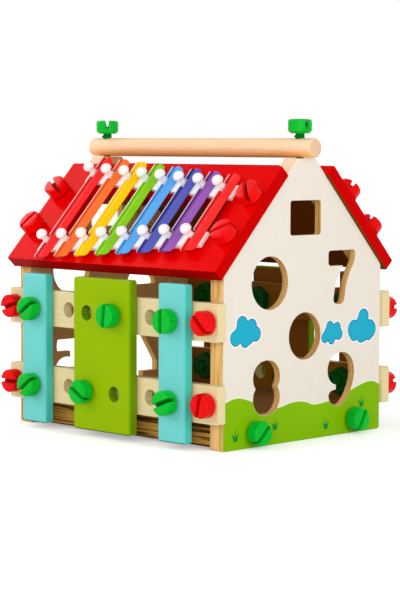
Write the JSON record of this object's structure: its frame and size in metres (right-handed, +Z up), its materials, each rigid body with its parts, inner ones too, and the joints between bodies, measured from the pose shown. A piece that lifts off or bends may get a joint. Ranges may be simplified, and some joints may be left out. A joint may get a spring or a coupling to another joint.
{
  "type": "activity house",
  "caption": "Wooden take-apart activity house with number and shape cut-outs, slotted bolts, a dowel handle and a roof xylophone.",
  "frame": {"origin": "on the ground under the middle of the house, halfway along it and halfway between its front and back", "axes": "+X along the house towards the gable with the 7, 8 and 9; -Y out of the front wall, under the roof with the xylophone; +Z up"},
  "size_m": [0.232, 0.2182, 0.226],
  "materials": {
    "gable_paint": "cream satin paint on birch plywood, printed clouds and grass",
    "birch_ply": "bare birch plywood, striped edge",
    "bare_wood": "sanded bare wood, dark green plastic nuts",
    "turquoise_paint": "turquoise satin paint on wood",
    "leaf_paint": "leaf green satin paint on wood",
    "roof_paint": "red satin paint on wood",
    "dowel_wood": "sanded bare beech",
    "green_bolt": "moulded green plastic",
    "red_bolt": "moulded red plastic",
    "comb_plastic": "moulded white plastic",
    "bar_1": "glossy red enamel",
    "bar_2": "glossy orange enamel",
    "bar_3": "glossy yellow enamel",
    "bar_4": "glossy green enamel",
    "bar_5": "glossy light blue enamel",
    "bar_6": "glossy dark blue enamel",
    "bar_7": "glossy purple enamel",
    "bar_8": "glossy red enamel"
  },
  "bodies": {
    "house": {"base_board": "birch_ply", "gable_right": "gable_paint", "gable_left": "gable_paint", "front_rail_lower": "bare_wood", "front_rail_upper": "bare_wood", "front_post_left": "turquoise_paint", "front_post_right": "turquoise_paint", "front_door": "leaf_paint", "back_rail_lower": "bare_wood", "back_rail_upper": "bare_wood", "back_post_left": "turquoise_paint", "back_post_right": "turquoise_paint", "back_door": "leaf_paint", "front_roof": "roof_paint", "xylophone_bar_1": "bar_1", "xylophone_bar_2": "bar_2", "xylophone_bar_3": "bar_3", "xylophone_bar_4": "bar_4", "xylophone_bar_5": "bar_5", "xylophone_bar_6": "bar_6", "xylophone_bar_7": "bar_7", "xylophone_bar_8": "bar_8", "xylophone_comb_lower": "comb_plastic", "xylophone_comb_upper": "comb_plastic", "back_roof": "roof_paint", "handle_dowel": "dowel_wood"},
    "gable_bolt_right_front": {"gable_bolt_right_front": "green_bolt"},
    "gable_bolt_right_back": {"gable_bolt_right_back": "green_bolt"},
    "gable_bolt_left_back": {"gable_bolt_left_back": "green_bolt"},
    "gable_bolt_left_front": {"gable_bolt_left_front": "green_bolt"},
    "front_rail_bolt_lower_left": {"front_rail_bolt_lower_left": "red_bolt"},
    "front_post_bolt_lower_left": {"front_post_bolt_lower_left": "green_bolt"},
    "front_rail_bolt_lower_right": {"front_rail_bolt_lower_right": "red_bolt"},
    "front_post_bolt_lower_right": {"front_post_bolt_lower_right": "green_bolt"},
    "front_door_bolt_lower": {"front_door_bolt_lower": "green_bolt"},
    "front_rail_bolt_upper_left": {"front_rail_bolt_upper_left": "red_bolt"},
    "front_post_bolt_upper_left": {"front_post_bolt_upper_left": "green_bolt"},
    "front_rail_bolt_upper_right": {"front_rail_bolt_upper_right": "red_bolt"},
    "front_post_bolt_upper_right": {"front_post_bolt_upper_right": "green_bolt"},
    "front_door_bolt_upper": {"front_door_bolt_upper": "green_bolt"},
    "back_rail_bolt_lower_left": {"back_rail_bolt_lower_left": "red_bolt"},
    "back_post_bolt_lower_left": {"back_post_bolt_lower_left": "green_bolt"},
    "back_rail_bolt_lower_right": {"back_rail_bolt_lower_right": "red_bolt"},
    "back_post_bolt_lower_right": {"back_post_bolt_lower_right": "green_bolt"},
    "back_door_bolt_lower": {"back_door_bolt_lower": "green_bolt"},
    "back_rail_bolt_upper_left": {"back_rail_bolt_upper_left": "red_bolt"},
    "back_post_bolt_upper_left": {"back_post_bolt_upper_left": "green_bolt"},
    "back_rail_bolt_upper_right": {"back_rail_bolt_upper_right": "red_bolt"},
    "back_post_bolt_upper_right": {"back_post_bolt_upper_right": "green_bolt"},
    "back_door_bolt_upper": {"back_door_bolt_upper": "green_bolt"},
    "front_roof_bolt_lower_left": {"front_roof_bolt_lower_left": "red_bolt"},
    "front_roof_bolt_lower_right": {"front_roof_bolt_lower_right": "red_bolt"},
    "front_roof_bolt_upper_left": {"front_roof_bolt_upper_left": "red_bolt"},
    "front_roof_bolt_upper_right": {"front_roof_bolt_upper_right": "red_bolt"},
    "back_roof_bolt_lower_left": {"back_roof_bolt_lower_left": "red_bolt"},
    "back_roof_bolt_lower_right": {"back_roof_bolt_lower_right": "red_bolt"},
    "back_roof_bolt_upper_left": {"back_roof_bolt_upper_left": "red_bolt"},
    "back_roof_bolt_upper_right": {"back_roof_bolt_upper_right": "red_bolt"},
    "handle_bolt_left": {"handle_bolt_left": "green_bolt"},
    "handle_bolt_right": {"handle_bolt_right": "green_bolt"}
  },
  "joints": [
    {"name": "gable_bolt_right_front_turn", "type": "hinge", "parent": "house", "child": "gable_bolt_right_front", "pos_m": [0.1058, -0.052, 0.0105], "axis": [1, 0, 0], "continuous": true},
    {"name": "gable_bolt_right_back_turn", "type": "hinge", "parent": "house", "child": "gable_bolt_right_back", "pos_m": [0.1058, 0.052, 0.0105], "axis": [1, 0, 0], "continuous": true},
    {"name": "gable_bolt_left_back_turn", "type": "hinge", "parent": "house", "child": "gable_bolt_left_back", "pos_m": [-0.1058, 0.052, 0.0105], "axis": [-1, 0, 0], "continuous": true},
    {"name": "gable_bolt_left_front_turn", "type": "hinge", "parent": "house", "child": "gable_bolt_left_front", "pos_m": [-0.1058, -0.052, 0.0105], "axis": [-1, 0, 0], "continuous": true},
    {"name": "front_rail_bolt_lower_left_turn", "type": "hinge", "parent": "house", "child": "front_rail_bolt_lower_left", "pos_m": [-0.0995, -0.0906, 0.03239], "axis": [0, -1, 0], "continuous": true},
    {"name": "front_post_bolt_lower_left_turn", "type": "hinge", "parent": "house", "child": "front_post_bolt_lower_left", "pos_m": [-0.07107, -0.0989, 0.03239], "axis": [0, -1, 0], "continuous": true},
    {"name": "front_rail_bolt_lower_right_turn", "type": "hinge", "parent": "house", "child": "front_rail_bolt_lower_right", "pos_m": [0.0995, -0.0906, 0.03239], "axis": [0, -1, 0], "continuous": true},
    {"name": "front_post_bolt_lower_right_turn", "type": "hinge", "parent": "house", "child": "front_post_bolt_lower_right", "pos_m": [0.07107, -0.0989, 0.03239], "axis": [0, -1, 0], "continuous": true},
    {"name": "front_door_bolt_lower_turn", "type": "hinge", "parent": "house", "child": "front_door_bolt_lower", "pos_m": [-0.01421, -0.0989, 0.03239], "axis": [0, -1, 0], "continuous": true},
    {"name": "front_rail_bolt_upper_left_turn", "type": "hinge", "parent": "house", "child": "front_rail_bolt_upper_left", "pos_m": [-0.0995, -0.0906, 0.0882], "axis": [0, -1, 0], "continuous": true},
    {"name": "front_post_bolt_upper_left_turn", "type": "hinge", "parent": "house", "child": "front_post_bolt_upper_left", "pos_m": [-0.07107, -0.0989, 0.0882], "axis": [0, -1, 0], "continuous": true},
    {"name": "front_rail_bolt_upper_right_turn", "type": "hinge", "parent": "house", "child": "front_rail_bolt_upper_right", "pos_m": [0.0995, -0.0906, 0.0882], "axis": [0, -1, 0], "continuous": true},
    {"name": "front_post_bolt_upper_right_turn", "type": "hinge", "parent": "house", "child": "front_post_bolt_upper_right", "pos_m": [0.07107, -0.0989, 0.0882], "axis": [0, -1, 0], "continuous": true},
    {"name": "front_door_bolt_upper_turn", "type": "hinge", "parent": "house", "child": "front_door_bolt_upper", "pos_m": [0.01421, -0.0989, 0.0882], "axis": [0, -1, 0], "continuous": true},
    {"name": "back_rail_bolt_lower_left_turn", "type": "hinge", "parent": "house", "child": "back_rail_bolt_lower_left", "pos_m": [0.0995, 0.0906, 0.03239], "axis": [0, 1, 0], "continuous": true},
    {"name": "back_post_bolt_lower_left_turn", "type": "hinge", "parent": "house", "child": "back_post_bolt_lower_left", "pos_m": [0.07107, 0.0989, 0.03239], "axis": [0, 1, 0], "continuous": true},
    {"name": "back_rail_bolt_lower_right_turn", "type": "hinge", "parent": "house", "child": "back_rail_bolt_lower_right", "pos_m": [-0.0995, 0.0906, 0.03239], "axis": [0, 1, 0], "continuous": true},
    {"name": "back_post_bolt_lower_right_turn", "type": "hinge", "parent": "house", "child": "back_post_bolt_lower_right", "pos_m": [-0.07107, 0.0989, 0.03239], "axis": [0, 1, 0], "continuous": true},
    {"name": "back_door_bolt_lower_turn", "type": "hinge", "parent": "house", "child": "back_door_bolt_lower", "pos_m": [0.01421, 0.0989, 0.03239], "axis": [0, 1, 0], "continuous": true},
    {"name": "back_rail_bolt_upper_left_turn", "type": "hinge", "parent": "house", "child": "back_rail_bolt_upper_left", "pos_m": [0.0995, 0.0906, 0.0882], "axis": [0, 1, 0], "continuous": true},
    {"name": "back_post_bolt_upper_left_turn", "type": "hinge", "parent": "house", "child": "back_post_bolt_upper_left", "pos_m": [0.07107, 0.0989, 0.0882], "axis": [0, 1, 0], "continuous": true},
    {"name": "back_rail_bolt_upper_right_turn", "type": "hinge", "parent": "house", "child": "back_rail_bolt_upper_right", "pos_m": [-0.0995, 0.0906, 0.0882], "axis": [0, 1, 0], "continuous": true},
    {"name": "back_post_bolt_upper_right_turn", "type": "hinge", "parent": "house", "child": "back_post_bolt_upper_right", "pos_m": [-0.07107, 0.0989, 0.0882], "axis": [0, 1, 0], "continuous": true},
    {"name": "back_door_bolt_upper_turn", "type": "hinge", "parent": "house", "child": "back_door_bolt_upper", "pos_m": [-0.01421, 0.0989, 0.0882], "axis": [0, 1, 0], "continuous": true},
    {"name": "front_roof_bolt_lower_left_turn", "type": "hinge", "parent": "house", "child": "front_roof_bolt_lower_left", "pos_m": [-0.0995, -0.07271, 0.14532], "axis": [0, -0.7266, 0.6871], "continuous": true},
    {"name": "front_roof_bolt_lower_right_turn", "type": "hinge", "parent": "house", "child": "front_roof_bolt_lower_right", "pos_m": [0.0995, -0.07271, 0.14532], "axis": [0, -0.7266, 0.6871], "continuous": true},
    {"name": "front_roof_bolt_upper_left_turn", "type": "hinge", "parent": "house", "child": "front_roof_bolt_upper_left", "pos_m": [-0.0995, -0.04811, 0.17134], "axis": [0, -0.7266, 0.6871], "continuous": true},
    {"name": "front_roof_bolt_upper_right_turn", "type": "hinge", "parent": "house", "child": "front_roof_bolt_upper_right", "pos_m": [0.0995, -0.04811, 0.17134], "axis": [0, -0.7266, 0.6871], "continuous": true},
    {"name": "back_roof_bolt_lower_left_turn", "type": "hinge", "parent": "house", "child": "back_roof_bolt_lower_left", "pos_m": [0.0995, 0.07271, 0.14532], "axis": [0, 0.7266, 0.6871], "continuous": true},
    {"name": "back_roof_bolt_lower_right_turn", "type": "hinge", "parent": "house", "child": "back_roof_bolt_lower_right", "pos_m": [-0.0995, 0.07271, 0.14532], "axis": [0, 0.7266, 0.6871], "continuous": true},
    {"name": "back_roof_bolt_upper_left_turn", "type": "hinge", "parent": "house", "child": "back_roof_bolt_upper_left", "pos_m": [0.0995, 0.04811, 0.17134], "axis": [0, 0.7266, 0.6871], "continuous": true},
    {"name": "back_roof_bolt_upper_right_turn", "type": "hinge", "parent": "house", "child": "back_roof_bolt_upper_right", "pos_m": [-0.0995, 0.04811, 0.17134], "axis": [0, 0.7266, 0.6871], "continuous": true},
    {"name": "handle_bolt_left_turn", "type": "hinge", "parent": "house", "child": "handle_bolt_left", "pos_m": [-0.0995, 0, 0.2158], "axis": [0, 0, 1], "continuous": true},
    {"name": "handle_bolt_right_turn", "type": "hinge", "parent": "house", "child": "handle_bolt_right", "pos_m": [0.0995, 0, 0.2158], "axis": [0, 0, 1], "continuous": true}
  ]
}
